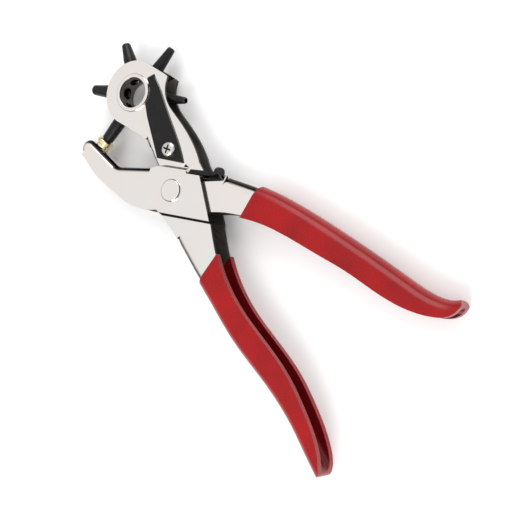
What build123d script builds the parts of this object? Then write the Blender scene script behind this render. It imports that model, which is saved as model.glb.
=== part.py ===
from build123d import *
import math
import os

# Revolving hole punch pliers, lying on their side. Millimetres.
# Z = 0 is the surface they lie on. The pivot axis is X = Y = 0. +Y runs from the handles to the head.

# ---- driving dimensions ----
MID = 8.4                    # height of the tool's mid-plane
SHEET = 1.5                  # thickness of both folded frames
HEAD_HALF = 5.2              # half width over the head plates
RAISED_HALF = 7.8            # half width over the raised pivot plates
HANDLE_HALF = 6.9            # half width over the lower handle
ANVIL_HALF = 5.7             # half width over the anvil frame, inside the pivot plates
HANDLE_FOLD = 5.0            # outer radius of the folds in the lower handle
ANVIL_FOLD = 5.0             # in the upper handle
JAW_FOLD = 4.4               # and round the jaw, just less than the radius of its nose
HEAD_FOLD = 2.2              # and along the head's web
JOG_ANGLE = 30.0             # direction across the jogs, from +X
JOG_UPPER = 10.75            # where the raised plates end, towards the head
JOG_LOWER = -11.3            # where they end, towards the handle
TURRET = (21.2, 53.4)        # turret axis
TIP_RADIUS = 28.6            # turret axis to the tip of every tube
BORES = (4.5, 4.0, 3.5, 3.0, 2.5, 2.0)    # hole sizes, clockwise from the working tube
TUBE_BASE = 6.6              # largest outer diameter of a tube
HUB_HALF = 3.4               # half width of the hub
HUB_FLATS = 26.8             # across the flats of the hub
SLEEVE_OD = 16.8
SLEEVE_ID = 15.0
FLANGE_OD = 19.3
SLEEVE_HOLE = 5.9            # windows in the sleeve, one behind each tube
FLANGE = 0.8                 # thickness of the sleeve's flanges
RUN = 0.05                   # radial running clearance
SIDE_GAP = 0.1               # clearance beside a flange
RIVET_D = 7.0
RIVET_HEAD_D = 11.1
ANVIL_GAP = 0.3              # working tube to anvil when the handles are locked shut
ANVIL_FACE = TURRET[0] - TIP_RADIUS - ANVIL_GAP
STEM = 2.5                   # radius of the anvil's stem, riveted through the jaw
JAW_FACE = -11.7             # outer face of the jaw's web
COAT = 1.2                   # thickness of the dipped grips outside
COAT_IN = 0.8                # and inside the channels
TIP_BULGE = 0.3              # roundness of the grips' ends, as a share of their width
STRIP = 0.8                  # thickness of the detent leaf
CATCH_PIN = (17.0, -19.2)    # axis on which the catch turns
TAB_RADIUS = 12.6            # turret axis to the leaf's bent tab
TAB_ANGLE = -16.5            # and its direction
TAB_TURN = 63.0              # direction of the tab's thickness
SCREW = (13.4, 15.8)         # detent screw's axis
HUMP = 9.45                  # radius of the anvil frame round the pivot
CATCH_SHEET = 1.3
EAR_GAP = 0.9                # ears to the anvil frame's plates, which clears the folds when open
PIN_HALF = ANVIL_HALF - 0.5  # the pin ends in blind holes

S_DIR = (math.cos(math.radians(JOG_ANGLE)), math.sin(math.radians(JOG_ANGLE)))
T_DIR = (S_DIR[1], -S_DIR[0])


# ---- helpers ----
def across(s, t):
    """Plan point from distances across and along the jogs."""
    return (s * S_DIR[0] + t * T_DIR[0], s * S_DIR[1] + t * T_DIR[1])


def slab(face, low, high):
    """Prism of a plan face between two heights measured from the mid-plane."""
    return extrude(Location((0, 0, MID + low)) * face, amount=high - low)


def both_sides(face, low, high):
    """Two prisms of one face, mirrored about the mid-plane."""
    return slab(face, low, high) + slab(face, -high, -low)


def disc(centre, radius, low, high):
    """Upright cylinder between two heights measured from the mid-plane."""
    return slab(Location((centre[0], centre[1], 0)) * Circle(radius), low, high)


def polar(radius, angle, centre=(0.0, 0.0)):
    """Plan point at a radius and an angle in degrees about a centre."""
    a = math.radians(angle)
    return (centre[0] + radius * math.cos(a), centre[1] + radius * math.sin(a))


def shifted(points, distance):
    """The same curve's points moved sideways, to the left of its direction for a positive distance."""
    moved = []
    last = len(points) - 1
    for i, (x, y) in enumerate(points):
        x0, y0 = points[max(i - 1, 0)]
        x1, y1 = points[min(i + 1, last)]
        length = math.hypot(x1 - x0, y1 - y0)
        moved.append((x - distance * (y1 - y0) / length, y + distance * (x1 - x0) / length))
    return moved


def closed_face(*curves):
    """Face inside a chain of curves, closed by straight lines where neighbours don't touch."""
    edges = []
    for i, curve in enumerate(curves):
        edges.append(curve)
        end = curve @ 1
        start = curves[(i + 1) % len(curves)] @ 0
        if (end - start).length > 1e-4:
            edges.append(Line(end, start))
    return make_face(Curve() + edges)


def web_bar(points, side, half, radius):
    """Wide bar with a rounded fold along one curve. The bar lies on the given side, +1 for +X."""
    (x0, y0), (x1, y1) = points[0], points[-1]
    far = 90 * side
    start = Polyline((x1 + far, y1), (x0 + far, y0))
    bar = slab(closed_face(Spline(points), start), -half, half)
    return fillet(bar.edges().filter_by(GeomType.BSPLINE), radius)


def extended(points, before, after):
    """The curve's points with its first and last spans carried on by two lengths."""
    def beyond(p, q, length):
        span = math.hypot(p[0] - q[0], p[1] - q[1])
        return (p[0] + (p[0] - q[0]) * length / span, p[1] + (p[1] - q[1]) * length / span)
    return [beyond(points[0], points[1], before)] + points + [beyond(points[-1], points[-2], after)]


def rounded(solid, zone, bar):
    """The solid with everything in a plan zone trimmed to a bar."""
    return solid - (slab(make_face(Polyline(zone, close=True)), -12, 12) - bar)


TAB = polar(TAB_RADIUS, TAB_ANGLE, TURRET)


# ---- curves shared by the frames and the grips ----
# The web curves follow the outer face of each channel's web, the lip curves its open edges.
LOWER_WEB = [(-18.0, -22.5), (-21.4, -35.0), (-25.2, -51.0), (-30.2, -72.0),
             (-33.9, -101.5), (-38.2, -121.0), (-42.6, -134.0), (-45.8, -143.6)]
LOWER_LIP = [(-44.6, -143.6), (-41.0, -140.7), (-36.3, -134.3), (-32.9, -128.0), (-29.3, -119.6),
             (-25.6, -109.6), (-23.4, -101.7), (-20.6, -83.5), (-16.9, -62.0), (-8.9, -42.7),
             (-3.6, -34.6), (1.8, -27.4)]
UPPER_WEB = [(23.2, -18.0), (29.6, -34.6), (36.8, -64.5), (41.0, -91.5),
             (44.2, -117.5), (47.0, -133.0), (50.2, -139.3), (52.4, -141.6)]
UPPER_LIP = [(51.0, -142.9), (46.0, -141.8), (41.4, -136.6), (36.8, -127.0), (33.2, -112.0),
             (30.9, -95.5), (27.4, -79.0), (23.7, -61.8), (20.3, -49.8), (14.6, -36.9), (10.0, -29.0)]
LOWER_ZONE = [(-14.0, -18.0), (-80, -22.5), (-80, -170), (30, -170), across(-13, 60), across(-13, 30)]
UPPER_ZONE = [(19.0, -19.5), (60, -12), (90, -60), (90, -170), (-10, -170), (4, -30)]
# plan areas that the grips cover
LOWER_FRONT = [(10, -39.5), (-60, -43.6), (-60, -170), (60, -170), (60, -39.5)]
UPPER_FRONT = [(-10, -41.4), (80, -27.6), (80, -170), (-60, -170), (-60, -41.4)]
HEAD_WEB = [(15.0, 47.0), (-2.5, 3.0)]
HEAD_ZONE = [(14.0, 31.0), (-10, 31.0), (-10, 25.5), across(12.4, -6.0), across(12.4, 6.0)]
JAW_TIP = (-16.2, 57.4)      # centre of the jaw's rounded nose
JAW_ZONE = [(-20.9, 70), (-20.9, 20.0), (-1.0, 17.6), (6.0, 20.0), (6.0, 70)]


def lower_bar(grow, half, radius):
    return web_bar(extended(shifted(LOWER_WEB, -grow), 6, 12), 1, half, radius)


def upper_bar(grow, half, radius):
    return web_bar(extended(shifted(UPPER_WEB, grow), 6, 12), -1, half, radius)


def head_bar(inset, half, radius):
    line = shifted(HEAD_WEB, inset)
    bar = slab(make_face(Polyline(line + [(60, 3), (60, 47)], close=True)), -half, half)
    near = bar.edges().filter_by(GeomType.LINE).sort_by_distance(Vector(6, 25, MID))[0:4]
    return fillet(near.filter_by(lambda e: abs((e @ 0).Z - (e @ 1).Z) < 1e-6), radius)


def jaw_bar(inset, half, radius):
    """Wide bar under the jaw's nose and web, with a fold along them."""
    r = JAW_FACE - JAW_TIP[0] - inset
    corner = 5.0 + inset
    x = JAW_FACE - inset
    slope = (0.589, -0.808)
    knee = (x, 35.66 - 0.55 * inset)
    reach = corner * math.tan(math.radians(18.05))
    bend_in = (x, knee[1] + reach)
    bend_out = (knee[0] + slope[0] * reach, knee[1] + slope[1] * reach)
    end = (knee[0] + slope[0] * 40, knee[1] + slope[1] * 40)
    nose = ThreePointArc((JAW_TIP[0] - r, JAW_TIP[1]), (JAW_TIP[0], JAW_TIP[1] + r), (x, JAW_TIP[1]))
    down = Line((x, JAW_TIP[1]), bend_in)
    bend = TangentArc(bend_in, bend_out, tangent=(0, -1))
    along = Line(bend_out, end)
    back = Polyline(end, (end[0], -40), (-80, -40), (-80, JAW_TIP[1]), (JAW_TIP[0] - r, JAW_TIP[1]))
    bar = slab(make_face(Curve() + [nose, down, bend, along, back]), -half, half)
    folds = [e for e in bar.edges() if abs((e @ 0).Z - (e @ 1).Z) < 1e-6 and (e @ 0.5).Y > 5
             and (e @ 0.5).X > JAW_TIP[0] - 1]
    return fillet(folds, radius)


# ---- turret frame ----
def jog_slab(head, raised, handle, lag):
    """Endless bar whose thickness steps at the two jogs."""
    upper = JOG_UPPER - lag
    half = [(-220, handle), (JOG_LOWER - 1.2 + 0.4 * lag, handle), (JOG_LOWER + 0.4 * lag, raised),
            (upper, raised), (upper + 1.2, head), (120, head)]
    outline = half + [(s, -z) for s, z in reversed(half)]
    plane = Plane(origin=(0, 0, MID), x_dir=(S_DIR[0], S_DIR[1], 0), z_dir=(-T_DIR[0], -T_DIR[1], 0))
    return extrude(plane * make_face(Polyline(outline, close=True)), amount=200, both=True)


def turret_plan():
    """Outline of the plates, with the webs' outer faces where there are webs."""
    ring = SLEEVE_OD / 2 + 8.0
    head_left = polar(ring, 186, TURRET)
    head_top = polar(ring, 96, TURRET)
    head_right = polar(ring, 0, TURRET)
    web = Spline(LOWER_WEB)
    lip = Spline(LOWER_LIP)
    right = Polyline(LOWER_LIP[-1], (15.3, -7.1), (17.5, -6.2), (18.9, -1.7))
    back = Spline((18.9, -1.7), (22.1, 4.4), (27.4, 24.0), (30.2, 34.8), (33.9, 39.4), (37.6, 41.6))
    shoulder = Polyline((37.6, 41.6), (39.1, 42.3), (39.1, 44.3), head_right)
    crown = ThreePointArc(head_right, head_top, head_left)
    throat = Polyline(head_left, (8.4, 34.5), (8.6, 31.0), (3.3, 17.5))
    cheek = Spline((3.3, 17.5), (-2.0, 15.9), (-8.4, 9.7), (-11.8, 1.7), (-12.4, -3.2))
    shank = Polyline((-12.4, -3.2), (-15.2, -18.6), LOWER_WEB[0])
    return closed_face(web, lip, right, back, shoulder, crown, throat, cheek, shank)


def make_turret_frame():
    outer = jog_slab(HEAD_HALF, RAISED_HALF, HANDLE_HALF, 0.0) & slab(turret_plan(), -10, 10)
    outer = rounded(outer, LOWER_ZONE, lower_bar(0.0, HANDLE_HALF, HANDLE_FOLD))
    outer = rounded(outer, HEAD_ZONE, head_bar(0.0, HEAD_HALF, HEAD_FOLD))
    hollow = jog_slab(HEAD_HALF - SHEET, RAISED_HALF - SHEET, HANDLE_HALF - SHEET, 0.95)
    hollow = rounded(hollow, LOWER_ZONE, lower_bar(-SHEET, HANDLE_HALF - SHEET, HANDLE_FOLD - SHEET))
    hollow = rounded(hollow, HEAD_ZONE, head_bar(SHEET, HEAD_HALF - SHEET, HEAD_FOLD - SHEET))
    frame = outer - hollow
    # window that lets the tubes pass the web
    frame -= disc(TURRET, TIP_RADIUS + 0.8, -HUB_HALF - 0.25, HUB_HALF + 0.25)
    # notches in both raised plates for the catch's hooks
    notch = make_face(Polyline([across(9.2, 6.4), across(9.2, 20.0), across(24, 20.0), across(24, 6.5),
                                across(12.6, 5.4)], close=True))
    frame -= both_sides(notch, HEAD_HALF + 0.02, 9)
    frame -= disc((0, 0), RIVET_D / 2, -10, 10)
    frame -= disc(TURRET, SLEEVE_OD / 2 + RUN, -10, 10)
    frame -= disc(SCREW, 2.0, 0, 10)
    # slot for the leaf's bent tab
    slot = Location((TAB[0], TAB[1], 0), (0, 0, TAB_TURN)) * Rectangle(1.6, 4.6)
    frame -= slab(slot, 0, 10)
    return frame


# ---- anvil frame ----
def anvil_plan():
    nose = JAW_FACE - JAW_TIP[0]
    tip = ThreePointArc((JAW_FACE, JAW_TIP[1]), (JAW_TIP[0], JAW_TIP[1] + nose),
                        (JAW_TIP[0] - nose, JAW_TIP[1]))
    back = Spline((JAW_TIP[0] - nose, JAW_TIP[1]), (-21.4, 53.0), (-22.9, 43.0), (-22.3, 29.1), (-21.4, 18.6),
                  (-19.8, 13.0), (-13.2, 2.3))
    belly = Spline((-13.2, 2.3), (-9.0, -5.0), (-3.2, -12.9), (4.4, -21.8), UPPER_LIP[-1])
    lip = Spline(list(reversed(UPPER_LIP)))
    web = Spline(list(reversed(UPPER_WEB)))
    top = Polyline(UPPER_WEB[0], (20.8, -18.6), across(7.0, 16.9), polar(HUMP, 348))
    hump = ThreePointArc(polar(HUMP, 348), polar(HUMP, 20), polar(HUMP, 47))
    throat = Polyline(polar(HUMP, 47), (-0.6, 16.6), (0.7, 18.7), (0.5, 40), (JAW_FACE, 50),
                      (JAW_FACE, JAW_TIP[1]))
    return closed_face(tip, back, belly, lip, web, top, hump, throat)


def make_anvil_frame():
    outer = slab(anvil_plan(), -ANVIL_HALF, ANVIL_HALF)
    outer = rounded(outer, UPPER_ZONE, upper_bar(0.0, ANVIL_HALF, ANVIL_FOLD))
    outer = rounded(outer, JAW_ZONE, jaw_bar(0.0, ANVIL_HALF, JAW_FOLD))
    inner_half = ANVIL_HALF - SHEET
    hollow = slab(Rectangle(400, 400), -inner_half, inner_half)
    hollow = rounded(hollow, UPPER_ZONE, upper_bar(-SHEET, inner_half, ANVIL_FOLD - SHEET))
    hollow = rounded(hollow, JAW_ZONE, jaw_bar(SHEET, inner_half, JAW_FOLD - SHEET))
    frame = outer - hollow
    frame -= disc((0, 0), RIVET_D / 2 + RUN, -10, 10)
    frame -= disc(CATCH_PIN, 1.5, -PIN_HALF, PIN_HALF)
    stem = Plane(origin=(JAW_FACE - 3, TURRET[1], MID), z_dir=(1, 0, 0)) * Circle(STEM)
    frame -= extrude(stem, amount=5)
    return frame


# ---- pivot ----
def make_pivot_rivet():
    shank = disc((0, 0), RIVET_D / 2, -RAISED_HALF, RAISED_HALF)
    front = disc((0, 0), RIVET_HEAD_D / 2, RAISED_HALF, RAISED_HALF + 1.1)
    front = fillet(front.edges().filter_by(GeomType.CIRCLE).group_by(Axis.Z)[-1], 0.8)
    rear = disc((0, 0), RIVET_HEAD_D / 2, -MID, -RAISED_HALF)
    rear = fillet(rear.edges().filter_by(GeomType.CIRCLE).group_by(Axis.Z)[0], 0.3)
    return shank + front + rear


# ---- turret ----
def tube_base(bore):
    return min(TUBE_BASE, 1.3 * bore + 2.6)


def shank_radius(bore):
    return tube_base(bore) / 2 - 0.4


def make_hub():
    hexagon = RegularPolygon(HUB_FLATS / 2, 6, major_radius=False, rotation=30)
    hexagon = Location((TURRET[0], TURRET[1], 0)) * hexagon
    hub = slab(hexagon, -HUB_HALF, HUB_HALF)
    hub = chamfer(hub.edges().filter_by(GeomType.LINE).group_by(Axis.Z)[0], 0.4)
    hub = chamfer(hub.edges().filter_by(GeomType.LINE).group_by(Axis.Z)[-1], 0.4)
    hub -= disc(TURRET, SLEEVE_OD / 2, -10, 10)
    for i, bore in enumerate(BORES):
        hub -= radial(180 - 60 * i, 0, 30, shank_radius(bore))
        # dimple that the leaf's tab drops towards
        hub -= disc(polar(TAB_RADIUS, TAB_ANGLE + 60 * i, TURRET), 1.1, HUB_HALF - 0.5, 10)
    return hub


def radial(angle, start, end, radius, far=None):
    """Cylinder or cone pointing away from the turret axis, in the mid-plane."""
    x, y = polar(start, angle, TURRET)
    a = math.radians(angle)
    plane = Plane(origin=(x, y, MID), z_dir=(math.cos(a), math.sin(a), 0))
    length = end - start
    if far is None:
        return extrude(plane * Circle(radius), amount=length)
    return plane * Pos(0, 0, length / 2) * Cone(radius, far, length)


def make_tube(index):
    bore = BORES[index]
    angle = 180 - 60 * index
    base = tube_base(bore) / 2
    tip = 1.3 * bore / 2
    face = HUB_FLATS / 2
    cone_start = 20.0 if base == TUBE_BASE / 2 else face + 1.0
    tube = radial(angle, SLEEVE_OD / 2, face, shank_radius(bore))
    tube += radial(angle, face, cone_start, base)
    tube += radial(angle, cone_start, TIP_RADIUS - 0.6, base, tip + 0.04)
    tube += radial(angle, TIP_RADIUS - 0.6, TIP_RADIUS, tip + 0.04, tip - 0.08 * bore)
    tube -= radial(angle, TIP_RADIUS - 5, TIP_RADIUS + 1, bore / 2)
    tube -= radial(angle, 0, TIP_RADIUS - 5, min(bore / 2 + 0.3, shank_radius(bore) - 0.5))
    tube -= disc(TURRET, SLEEVE_OD / 2, -10, 10)
    return tube


def make_sleeve():
    top = HEAD_HALF + SIDE_GAP
    sleeve = disc(TURRET, SLEEVE_OD / 2, -top, top)
    for low, high in ((top, top + FLANGE), (-top - FLANGE, -top)):
        sleeve += disc(TURRET, FLANGE_OD / 2, low, high)
    sleeve = fillet(sleeve.edges().filter_by(GeomType.CIRCLE).group_by(Axis.Z)[-1], 0.45)
    sleeve = fillet(sleeve.edges().filter_by(GeomType.CIRCLE).group_by(Axis.Z)[0], 0.45)
    sleeve -= disc(TURRET, SLEEVE_ID / 2, -10, 10)
    circles = sleeve.edges().filter_by(GeomType.CIRCLE)
    mouths = circles.filter_by(lambda e: abs(e.radius - SLEEVE_ID / 2) < 1e-3)
    sleeve = fillet(mouths, 0.5)
    for i in range(len(BORES)):
        sleeve -= radial(180 - 60 * i, 0, 12, SLEEVE_HOLE / 2)
    return sleeve


# ---- detent ----
def make_detent_spring():
    edge = FLANGE_OD / 2 + 0.7
    right = Polyline((35.0, 48.9), (33.9, 46.0), (31.8, 40.6))
    side = Spline((31.8, 40.6), (28.5, 34.2), (25.2, 27.4), (17.0, 10.7), (13.3, 5.1))
    foot = Polyline((13.3, 5.1), (6.1, 18.7), (17.6, 37.8), polar(edge, 272, TURRET))
    scoop = ThreePointArc(polar(edge, 272, TURRET), polar(edge, 295, TURRET), polar(edge, 318, TURRET))
    tab = Polyline(polar(edge, 318, TURRET), (31.4, 50.7), (35.0, 48.9))
    leaf = slab(closed_face(right, side, foot, scoop, tab), HEAD_HALF, HEAD_HALF + STRIP)
    nib_face = Location((TAB[0], TAB[1], 0), (0, 0, TAB_TURN)) * Rectangle(0.9, 3.2)
    leaf += slab(nib_face, HUB_HALF + 0.1, HEAD_HALF + STRIP)
    leaf -= disc(SCREW, 2.1, 0, 10)
    return leaf


def make_detent_screw():
    top = HEAD_HALF + STRIP
    shank = disc(SCREW, 1.95, -0.2, top)
    head = disc(SCREW, 3.7, top, top + 2.2)
    head = fillet(head.edges().filter_by(GeomType.CIRCLE).group_by(Axis.Z)[-1], 1.5)
    cross = Location((SCREW[0], SCREW[1], 0), (0, 0, 20)) * (Rectangle(4.4, 0.9) + Rectangle(0.9, 4.4))
    head -= slab(cross, top + 0.9, top + 4)
    return shank + head


def make_detent_nut():
    hexagon = Location((SCREW[0], SCREW[1], 0)) * RegularPolygon(3.5, 6, major_radius=False)
    nut = slab(hexagon, HEAD_HALF - SHEET - 3.0, HEAD_HALF - SHEET)
    return nut - disc(SCREW, 1.95, -10, 10)


# ---- anvil ----
def make_anvil():
    face = ANVIL_FACE - JAW_FACE
    profile = [(0, -SHEET - 0.8), (STEM, -SHEET - 0.8), (STEM, 0), (3.6, 0), (3.75, 0.3), (3.75, 1.1),
               (3.4, 1.3), (3.4, 1.6), (4.1, 1.8), (4.3, 2.0), (4.3, face - 0.25), (4.05, face), (0, face)]
    body = revolve(Plane.XZ * make_face(Polyline(profile, close=True)), Axis.Z)
    return Plane(origin=(JAW_FACE, TURRET[1], MID), z_dir=(1, 0, 0)) * body


# ---- catch ----
def make_lock_catch():
    """Bent sheet: a bar across the tool, two hooks, two ears on the pin and a rounded thumb tab."""
    hook_in = HEAD_HALF + 0.7
    hook_out = hook_in + CATCH_SHEET
    hook = make_face(Polyline([across(9.6, 7.0), across(11.6, 8.2), across(12.1, 19.4), across(10.0, 19.4),
                               across(9.6, 14.4)], close=True))
    catch = both_sides(hook, hook_in, hook_out)
    bar = make_face(Polyline([across(12.1, 15.6), across(12.1, 20.8), across(10.3, 20.8), across(10.0, 15.6)],
                             close=True))
    catch += slab(bar, -hook_out, hook_out)
    ear_half = ANVIL_HALF - SHEET - EAR_GAP
    pin_s = CATCH_PIN[0] * S_DIR[0] + CATCH_PIN[1] * S_DIR[1]
    pin_t = CATCH_PIN[0] * T_DIR[0] + CATCH_PIN[1] * T_DIR[1]
    ear = make_face(Polyline([across(12.0, 16.0), across(12.0, 20.8), across(pin_s + 2.2, pin_t + 1.6),
                              across(pin_s - 2.2, pin_t - 1.0), across(10.0, 16.0)], close=True))
    ear += Location((CATCH_PIN[0], CATCH_PIN[1], 0)) * Circle(2.7)
    catch += both_sides(ear, ear_half - CATCH_SHEET, ear_half)
    thumb = Plane(origin=(*across(10.3, 18.9), MID), x_dir=(0, 0, -1), z_dir=(T_DIR[0] - 0.12, T_DIR[1], 0))
    shape = Pos(0, 1.3) * Rectangle(8.0, 2.6) + Pos(0, 2.6) * Ellipse(4.0, 2.4)
    catch += extrude(thumb * shape, amount=CATCH_SHEET)
    catch -= disc(CATCH_PIN, 1.5 + RUN, -10, 10)
    return catch


def make_catch_pin():
    return disc(CATCH_PIN, 1.5, -PIN_HALF, PIN_HALF)


# ---- return spring ----
def make_return_spring():
    """Wire coil around the rivet with one leg in each handle."""
    wire, radius, pitch, turns = 1.2, 4.6, 1.5, 3.5
    height = pitch * turns
    path = Location((0, 0, MID - height / 2)) * Helix(pitch=pitch, height=height, radius=radius)
    body = sweep(Plane(origin=path @ 0, z_dir=path % 0) * Circle(wire / 2), path=path)
    for end, corner, tip in (
        (path @ 0, (18.0, -34.0), (24.8, -45.0)),
        (path @ 1, (-12.6, -34.0), (-20.0, -46.0)),
    ):
        leg = FilletPolyline(end, (*corner, end.Z), (*tip, end.Z), radius=4.0)
        body += sweep(Plane(origin=leg @ 0, z_dir=leg % 0) * Circle(wire / 2), path=leg)
        body += Pos(end) * Sphere(wire / 2)
    return body


# ---- grips ----
def make_grip(bar, web, lip, turn, half, fold, front, frame):
    """Skin outside and inside a handle channel, from a straight front edge to the handle's end."""
    back = shifted(web, turn * COAT)
    edge = shifted(lip, turn * COAT)
    dx = edge[0][0] - back[-1][0]
    dy = edge[0][1] - back[-1][1]
    middle = ((edge[0][0] + back[-1][0]) / 2, (edge[0][1] + back[-1][1]) / 2)
    nose = (middle[0] - turn * dy * TIP_BULGE, middle[1] + turn * dx * TIP_BULGE)
    plan = closed_face(Spline(back), ThreePointArc(back[-1], nose, edge[0]), Spline(edge))
    outer = bar(COAT, half + COAT, fold + COAT) & slab(plan, -10, 10)
    outer = outer & slab(make_face(Polyline(front, close=True)), -10, 10)
    inset = SHEET + COAT_IN
    return outer - frame - bar(-inset, half - inset, fold - inset)


def make_grip_lower():
    return make_grip(lower_bar, LOWER_WEB, LOWER_LIP, -1, HANDLE_HALF, HANDLE_FOLD, LOWER_FRONT,
                     make_turret_frame())


def make_grip_upper():
    return make_grip(upper_bar, UPPER_WEB, UPPER_LIP, 1, ANVIL_HALF, ANVIL_FOLD, UPPER_FRONT,
                     make_anvil_frame())


PARTS = {
    "turret_frame": make_turret_frame,
    "anvil_frame": make_anvil_frame,
    "pivot_rivet": make_pivot_rivet,
    "turret_hub": make_hub,
    "turret_sleeve": make_sleeve,
    "detent_spring": make_detent_spring,
    "detent_screw": make_detent_screw,
    "detent_nut": make_detent_nut,
    "anvil": make_anvil,
    "lock_catch": make_lock_catch,
    "catch_pin": make_catch_pin,
    "return_spring": make_return_spring,
    "grip_lower": make_grip_lower,
    "grip_upper": make_grip_upper,
}

os.makedirs("parts", exist_ok=True)
for name, make in PARTS.items():
    export_step(make(), f"parts/{name}.step")
for i, bore in enumerate(BORES):
    export_step(make_tube(i), f"parts/punch_tube_{int(bore * 10)}.step")
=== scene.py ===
import math

import bpy
from mathutils import Matrix, Vector

# Looks for the revolving hole punch pliers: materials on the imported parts, a pale floor and soft light.
# Everything is in metres, in the row's frame: the tool lies flat, +Y runs from the handles to the head.

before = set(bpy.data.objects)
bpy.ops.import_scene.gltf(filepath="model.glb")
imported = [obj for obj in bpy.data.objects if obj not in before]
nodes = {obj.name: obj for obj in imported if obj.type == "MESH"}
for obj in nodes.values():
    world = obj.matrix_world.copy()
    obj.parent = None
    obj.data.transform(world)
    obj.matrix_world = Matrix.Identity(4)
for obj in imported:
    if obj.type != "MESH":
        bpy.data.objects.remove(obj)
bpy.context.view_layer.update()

MM = 0.001
MID = 8.4 * MM               # height of the tool's mid-plane
SPAN = 16 * MM               # further than the two walls of any folded channel are apart
TURRET_AXIS = (21.2, 53.4)   # millimetres, like the two below
SCREW_AXIS = (13.4, 15.8)
SLEEVE_BORE = 7.6            # a little more than the radius of the sleeve's bore


# ---- node helpers ----
class Graph:
    """A material's node tree, with short calls for adding and joining nodes."""

    def __init__(self, name):
        self.material = bpy.data.materials.new(name)
        self.material.use_nodes = True
        self.tree = self.material.node_tree
        self.shader = self.tree.nodes["Principled BSDF"]
        self.place = self.add("ShaderNodeTexCoord").outputs["Object"]

    def add(self, kind, inputs=None, **settings):
        node = self.tree.nodes.new(kind)
        for key, value in settings.items():
            setattr(node, key, value)
        for key, value in (inputs or {}).items():
            self.put(node.inputs[key], value)
        return node

    def put(self, socket, value):
        if isinstance(value, bpy.types.NodeSocket):
            self.tree.links.new(value, socket)
        else:
            socket.default_value = value

    def set(self, **values):
        for key, value in values.items():
            self.put(self.shader.inputs[key.replace("_", " ")], value)

    def stretched(self, scale, turn=(0, 0, 0)):
        inputs = {"Vector": self.place, "Rotation": turn, "Scale": scale}
        return self.add("ShaderNodeMapping", inputs).outputs[0]

    def noise(self, scale, detail=3.0, rough=0.5, place=None):
        inputs = {"Vector": place or self.place, "Scale": scale, "Detail": detail, "Roughness": rough}
        return self.add("ShaderNodeTexNoise", inputs).outputs["Fac"]

    def remap(self, value, low, high, from_low=0.0, from_high=1.0):
        inputs = {"Value": value, "From Min": from_low, "From Max": from_high, "To Min": low, "To Max": high}
        return self.add("ShaderNodeMapRange", inputs).outputs["Result"]

    def math(self, operation, a, b=0.0):
        return self.add("ShaderNodeMath", {0: a, 1: b}, operation=operation).outputs[0]

    def mix(self, factor, a, b):
        node = self.add("ShaderNodeMix", data_type="RGBA")
        self.put(node.inputs[0], factor)
        self.put(node.inputs[6], a)
        self.put(node.inputs[7], b)
        return node.outputs[2]

    def tilted(self, low, high, soft=0.05):
        """1 where the surface leans between upright and level, by the height of its normal."""
        normal = self.add("ShaderNodeNewGeometry").outputs["Normal"]
        lean = self.math("ABSOLUTE", self.add("ShaderNodeSeparateXYZ", {0: normal}).outputs["Z"])
        rise = self.remap(lean, 0.0, 1.0, low - soft, low + soft)
        fall = self.remap(lean, 1.0, 0.0, high - soft, high + soft)
        return self.math("MULTIPLY", rise, fall)

    def bump(self, height, distance, strength=1.0, normal=None):
        inputs = {"Height": height, "Distance": distance, "Strength": strength}
        if normal is not None:
            inputs["Normal"] = normal
        return self.add("ShaderNodeBump", inputs).outputs[0]


def rgb(r, g, b):
    """Linear colour of an sRGB colour given in 0..255."""
    def line(v):
        v /= 255
        return v / 12.92 if v <= 0.04045 else ((v + 0.055) / 1.055) ** 2.4
    return (line(r), line(g), line(b), 1.0)


# ---- materials ----
def chrome():
    """Polished plating on stamped sheet: slow waves, faint buffing lines, a warm tint that drifts, and a
    painted dark reflection on the folds.
    """
    g = Graph("chrome_plate")
    tint = g.remap(g.noise(45.0, 2.0), 0.0, 1.0, 0.35, 0.65)
    colour = g.mix(tint, rgb(240, 238, 236), rgb(243, 236, 231))
    # painted dark reflection: where the surface leans between level and upright, as on the folds, the
    # plating is coloured near-black
    colour = g.mix(g.tilted(0.36, 0.86), colour, rgb(44, 42, 41))
    lines = g.noise(900.0, 2.0, place=g.stretched((1.0, 0.06, 1.0), (0, 0, 0.3)))
    waves = g.noise(70.0, 1.0)
    rough = g.remap(lines, 0.05, 0.12, 0.3, 0.7)
    normal = g.bump(waves, 0.4 * MM, 0.10)
    normal = g.bump(lines, 0.01 * MM, 0.25, normal)
    g.set(Base_Color=colour, Metallic=1.0, Roughness=rough, Normal=normal)
    return g.material


def inner_plate_painted_shade():
    """Thin dull plating on the insides of the folded channels, coloured darker as painted shade of the
    hollow.
    """
    g = Graph("inner_plate_painted_shade")
    lines = g.noise(700.0, 3.0, place=g.stretched((1.0, 0.05, 1.0), (0, 0, 0.3)))
    blotch = g.noise(120.0, 3.0)
    mixed = g.math("ADD", g.math("MULTIPLY", lines, 0.6), g.math("MULTIPLY", blotch, 0.4))
    shade = g.remap(mixed, 0, 1, 0.3, 0.7)
    colour = g.mix(shade, rgb(104, 100, 97), rgb(142, 137, 133))
    g.set(Base_Color=colour, Metallic=0.9, Roughness=g.remap(blotch, 0.3, 0.45))
    g.set(Normal=g.bump(lines, 0.02 * MM, 0.3))
    return g.material


def sheared_edge_and_shade():
    """Cut edges of the plate, scored across by the shear; their near-black colour is partly the bare sheared
    steel and partly painted shade and dark reflection along the edge.
    """
    g = Graph("sheared_edge_and_shade")
    scores = g.noise(1400.0, 3.0, place=g.stretched((1.0, 1.0, 0.08)))
    colour = g.mix(g.remap(scores, 0, 1, 0.3, 0.7), rgb(38, 36, 35), rgb(62, 60, 58))
    g.set(Base_Color=colour, Metallic=0.8, Roughness=g.remap(scores, 0.32, 0.45))
    g.set(Normal=g.bump(scores, 0.02 * MM, 0.4))
    return g.material


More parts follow.
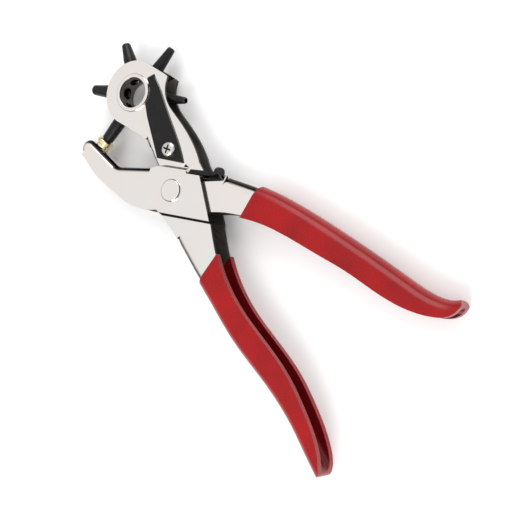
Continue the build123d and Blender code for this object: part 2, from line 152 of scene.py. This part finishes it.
def black_paint():
    """Satin black finish with a fine grain and slightly paler rubbed places."""
    g = Graph("black_finish")
    grain = g.noise(2600.0, 2.0)
    rubbed = g.remap(g.noise(260.0, 4.0, 0.6), 0.0, 1.0, 0.5, 0.75)
    colour = g.mix(rubbed, rgb(15, 14, 14), rgb(25, 23, 23))
    rough = g.remap(rubbed, 0.30, 0.42)
    g.set(Base_Color=colour, Metallic=0.0, Roughness=rough, Normal=g.bump(grain, 0.012 * MM, 0.35))
    g.set(Coat_Weight=0.08, Coat_Roughness=0.2, Specular_IOR_Level=0.22)
    return g.material


def red_grip(name, fresh, deep):
    """Thick glossy dipped coating, gently uneven, a little deeper in colour where it pooled."""
    g = Graph(name)
    pooled = g.remap(g.noise(60.0, 3.0), 0.0, 1.0, 0.35, 0.65)
    colour = g.mix(pooled, fresh, deep)
    uneven = g.noise(160.0, 2.0)
    pores = g.noise(2200.0, 2.0)
    normal = g.bump(uneven, 0.5 * MM, 0.10)
    normal = g.bump(pores, 0.01 * MM, 0.25, normal)
    rough = g.remap(pores, 0.24, 0.34, 0.3, 0.7)
    g.set(Base_Color=colour, Roughness=rough, Normal=normal)
    g.set(Coat_Weight=0.12, Coat_Roughness=0.15, Specular_IOR_Level=0.25)
    return g.material


def brass():
    """Turned anvil: fine rings about its axis, and patches warmer in colour."""
    g = Graph("turned_brass")
    centre = (0, -TURRET_AXIS[1] * MM, -MID)
    offset = g.add("ShaderNodeVectorMath", {0: g.place, 1: centre}, operation="ADD").outputs[0]
    flat = g.add("ShaderNodeVectorMath", {0: offset, 1: (0.0, 1.0, 1.0)}, operation="MULTIPLY").outputs[0]
    reach = g.add("ShaderNodeVectorMath", {0: flat}, operation="LENGTH").outputs["Value"]
    rings = g.math("SINE", g.math("MULTIPLY", reach, 2 * math.pi / (0.35 * MM)))
    tarnish = g.remap(g.noise(300.0, 3.0), 0.0, 1.0, 0.4, 0.7)
    colour = g.mix(tarnish, rgb(246, 236, 206), rgb(222, 203, 158))
    g.set(Base_Color=colour, Metallic=1.0, Roughness=g.remap(tarnish, 0.16, 0.3))
    g.set(Normal=g.bump(rings, 0.006 * MM, 0.5))
    return g.material


def bright_steel():
    """Bright nickel on the small hardware, with fine rolling marks."""
    g = Graph("bright_steel")
    marks = g.noise(1500.0, 2.0, place=g.stretched((1.0, 1.0, 0.2)))
    colour = g.mix(g.remap(marks, 0, 1, 0.3, 0.7), rgb(205, 203, 199), rgb(228, 226, 222))
    g.set(Base_Color=colour, Metallic=1.0, Roughness=g.remap(marks, 0.14, 0.24, 0.3, 0.7))
    g.set(Normal=g.bump(marks, 0.01 * MM, 0.3))
    return g.material


CHROME = chrome()
INNER_SHADE = inner_plate_painted_shade()
BLACK = black_paint()
RED = red_grip("red_dip", rgb(150, 2, 6), rgb(132, 1, 4))
# same coat in darker reds for the grips' inside faces: painted shade inside the channel
SHADED_RED = red_grip("red_dip_inside_shade", rgb(96, 6, 12), rgb(80, 3, 8))
CUT_AND_SHADE = sheared_edge_and_shade()
BRASS = brass()
STEEL = bright_steel()

FINISHES = {
    "turret_frame": CHROME,
    "anvil_frame": CHROME,
    "pivot_rivet": CHROME,
    "turret_sleeve": CHROME,
    "turret_hub": BLACK,
    "detent_spring": BLACK,
    "lock_catch": BLACK,
    "detent_screw": STEEL,
    "detent_nut": STEEL,
    "catch_pin": STEEL,
    "return_spring": STEEL,
    "anvil": BRASS,
    "grip_lower": RED,
    "grip_upper": RED,
}

for name, node in nodes.items():
    node.data.materials.clear()
    node.data.materials.append(BLACK if name.startswith("punch_tube") else FINISHES[name])


def inside_faces(node):
    """Faces that look into a folded channel: another wall of the same piece covers them."""
    up = Vector((0, 0, 1))
    near = 0.6 * MM
    inside = []
    for face in node.data.polygons:
        start = face.center + face.normal * near
        if abs(face.normal.z) > 0.7:
            covered = node.ray_cast(start, up if face.normal.z > 0 else -up, distance=SPAN)[0]
        else:
            above = node.ray_cast(start, up, distance=SPAN)[0]
            covered = above and node.ray_cast(start, -up, distance=SPAN)[0]
        if covered:
            inside.append(face.index)
    return inside


def cut_faces(node):
    """Upright faces whose plate, measured up and down just behind them, is thinner than the folded web."""
    up = Vector((0, 0, 1))
    behind, thin = 0.3 * MM, 2.0 * MM
    cut = []
    for face in node.data.polygons:
        if abs(face.normal.z) > 0.3:
            continue
        start = face.center - face.normal * behind
        reach = 0.0
        for way in (up, -up):
            hit, place = node.ray_cast(start, way, distance=SPAN)[:2]
            reach += (place - start).length if hit else SPAN
        if reach < thin:
            cut.append(face.index)
    return cut


def paint_faces(node, material, faces):
    node.data.materials.append(material)
    slot = len(node.data.materials) - 1
    for index in faces:
        node.data.polygons[index].material_index = slot


# painted shade: faces inside the folded channels get the darker inner plating
for name in ("turret_frame", "anvil_frame"):
    paint_faces(nodes[name], INNER_SHADE, inside_faces(nodes[name]))
    # painted shade and dark reflection: the cut edges get the near-black edge colour
    paint_faces(nodes[name], CUT_AND_SHADE, cut_faces(nodes[name]))

def near_axis(node, centre, radius, low, high):
    """Faces whose middle is within a radius of an upright axis and between two heights, in millimetres."""
    found = []
    for face in node.data.polygons:
        x, y, z = face.center / MM
        if math.hypot(x - centre[0], y - centre[1]) < radius and low < z < high:
            found.append(face.index)
    return found


# painted shade: the sleeve's bore gets the darker inner plating, and the floor of the cross in the screw's
# head the near-black edge colour
sleeve, screw = nodes["turret_sleeve"], nodes["detent_screw"]
paint_faces(sleeve, INNER_SHADE, near_axis(sleeve, TURRET_AXIS, SLEEVE_BORE, 2.9, 13.9))
paint_faces(screw, CUT_AND_SHADE, near_axis(screw, SCREW_AXIS, 2.3, 15.2, 15.9))
# painted shade: the grips' inside faces get the darker red
for name in ("grip_lower", "grip_upper"):
    paint_faces(nodes[name], SHADED_RED, inside_faces(nodes[name]))


# ---- floor and light ----
def floor():
    bpy.ops.mesh.primitive_plane_add(size=60.0, location=(0, 0, -0.00005))
    plane = bpy.context.object
    plane.name = "floor"
    g = Graph("floor_paper")
    tone = g.remap(g.noise(9.0, 3.0), 0.0, 1.0, 0.4, 0.6)
    g.set(Base_Color=g.mix(tone, (0.93, 0.93, 0.93, 1), (0.95, 0.95, 0.95, 1)), Roughness=0.7)
    plane.data.materials.append(g.material)


def softbox(name, place, aim, size, power):
    data = bpy.data.lights.new(name, "AREA")
    data.shape = "RECTANGLE"
    data.size, data.size_y = size
    data.energy = power
    lamp = bpy.data.objects.new(name, data)
    bpy.context.scene.collection.objects.link(lamp)
    lamp.location = place
    lamp.rotation_mode = "QUATERNION"
    lamp.rotation_quaternion = (Vector(aim) - Vector(place)).to_track_quat("-Z", "Y")


def sky():
    """Pale room: bright overhead, greyer towards the horizon, by the height of the direction looked in."""
    world = bpy.data.worlds.new("studio")
    bpy.context.scene.world = world
    world.use_nodes = True
    tree = world.node_tree
    place = tree.nodes.new("ShaderNodeTexCoord").outputs["Generated"]
    split = tree.nodes.new("ShaderNodeSeparateXYZ")
    ramp = tree.nodes.new("ShaderNodeValToRGB")
    tree.links.new(place, split.inputs[0])
    tree.links.new(split.outputs["Z"], ramp.inputs[0])
    tree.links.new(ramp.outputs[0], tree.nodes["Background"].inputs["Color"])
    stops = ramp.color_ramp.elements
    stops[0].position, stops[0].color = 0.02, (0.22, 0.22, 0.22, 1)
    stops[1].position, stops[1].color = 0.62, (0.90, 0.895, 0.89, 1)
    for position, tone in ((0.25, 0.62), (0.84, 0.90), (0.91, 1.0)):
        stops.new(position).color = (tone, tone * 0.995, tone * 0.99, 1)
    tree.nodes["Background"].inputs["Strength"].default_value = 1.0


floor()
sky()
softbox("key", (-0.9, -0.6, 0.9), (0, -0.03, 0), (0.9, 0.9), 13)
softbox("fill", (1.0, 0.5, 0.8), (0, -0.03, 0), (0.9, 0.9), 9)

# ---- camera ----
EYE = Vector((0.11913, -0.25144, 0.42095))
RIGHT = Vector((0.5979, -0.6473, -0.4728)).normalized()
BACK = Vector((0.244, -0.4148, 0.8766)).normalized()


def camera():
    data = bpy.data.cameras.new("camera")
    data.lens, data.sensor_width = 70.38, 36.0
    data.clip_start, data.clip_end = 0.01, 50
    view = bpy.data.objects.new("camera", data)
    bpy.context.scene.collection.objects.link(view)
    up = BACK.cross(RIGHT).normalized()
    right = up.cross(BACK)
    turn = Matrix((right, up, BACK)).transposed()
    view.matrix_world = Matrix.Translation(EYE) @ turn.to_4x4()
    bpy.context.scene.camera = view


camera()
bpy.context.scene.view_settings.view_transform = "Standard"
